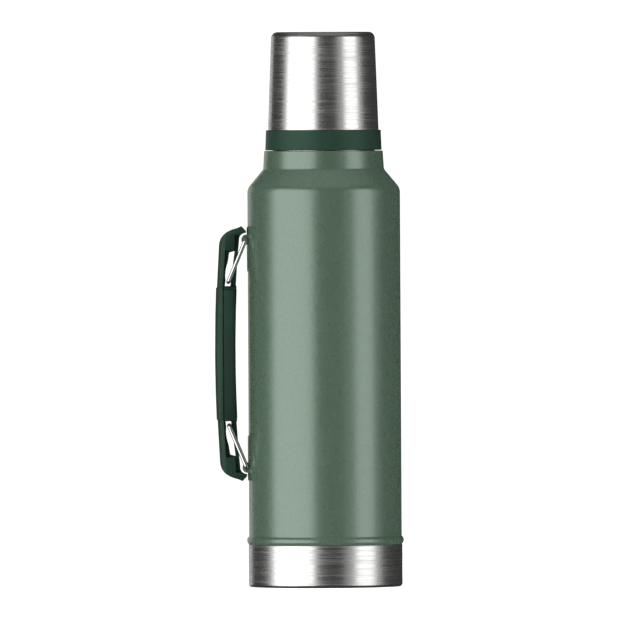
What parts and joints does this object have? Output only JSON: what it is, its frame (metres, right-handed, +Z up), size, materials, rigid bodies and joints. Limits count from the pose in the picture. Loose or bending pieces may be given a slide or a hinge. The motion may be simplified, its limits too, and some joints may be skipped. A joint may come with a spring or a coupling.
{
  "type": "vacuum flask",
  "caption": "Steel vacuum flask with a green painted body, brushed base and cup, a screw-in stopper and a dark side handle that swings out on wire links.",
  "frame": {"origin": "centre of the flat base, on the surface it stands on", "axes": "+Z up along the flask's axis, -X towards the handle, +Y to complete a right-handed frame"},
  "size_m": [0.124, 0.1036, 0.366],
  "materials": {
    "painted_steel": "hammertone powder coat",
    "brushed_steel": "brushed",
    "bare_steel": "drawn, unpolished",
    "wire_steel": "polished",
    "green_plastic": "satin",
    "seal_rubber": "matte",
    "foam": "matte",
    "seal_bead": "matte",
    "getter_metal": "matte",
    "shield_foil": "bright"
  },
  "bodies": {
    "flask": {"outer_shell": "painted_steel", "base_cup": "brushed_steel", "threaded_neck": "bare_steel", "inner_vessel": "bare_steel", "inner_bottom": "bare_steel", "outer_bottom": "bare_steel", "vacuum_seal": "seal_bead", "getter": "getter_metal", "radiation_shield": "shield_foil", "upper_bracket": "painted_steel", "lower_bracket": "painted_steel", "upper_pivot_housing": "painted_steel", "lower_pivot_housing": "painted_steel"},
    "upper_wire_link": {"upper_link": "wire_steel"},
    "lower_wire_link": {"lower_link": "wire_steel"},
    "handle": {"handle_spine": "green_plastic", "grip_cover": "green_plastic", "grip_pad": "green_plastic"},
    "cup": {"cup_shell": "brushed_steel", "cup_liner": "green_plastic"},
    "seal_ring": {"stopper_seal": "seal_rubber"},
    "stopper": {"stopper_body": "green_plastic", "stopper_cap": "green_plastic", "stopper_plug": "green_plastic", "stopper_insulation": "foam"}
  },
  "joints": [
    {"name": "cup_lift", "type": "slide", "parent": "flask", "child": "cup", "axis": [0, 0, 1], "range_m": [0, 0.1]},
    {"name": "stopper_lift", "type": "slide", "parent": "flask", "child": "seal_ring", "axis": [0, 0, 1], "range_m": [0, 0.048]},
    {"name": "stopper_turn", "type": "hinge", "parent": "seal_ring", "child": "stopper", "pos_m": [0, 0, 0.3], "axis": [0, 0, 1], "range_deg": [0, 450]},
    {"name": "handle_pull", "type": "slide", "parent": "flask", "child": "handle", "axis": [-1, 0, 0], "range_m": [0, 0.0176]},
    {"name": "upper_link_swing", "type": "hinge", "parent": "flask", "child": "upper_wire_link", "pos_m": [-0.05155, 0, 0.22925], "axis": [0, 1, 0], "range_deg": [0, 42.1]},
    {"name": "lower_link_swing", "type": "hinge", "parent": "flask", "child": "lower_wire_link", "pos_m": [-0.05155, 0, 0.07875], "axis": [0, -1, 0], "range_deg": [0, 42.1]}
  ],
  "couplings": [
    {"joint": "upper_link_swing", "follows": "handle_pull", "rad_per_m": 41.65},
    {"joint": "lower_link_swing", "follows": "handle_pull", "rad_per_m": 41.65}
  ]
}
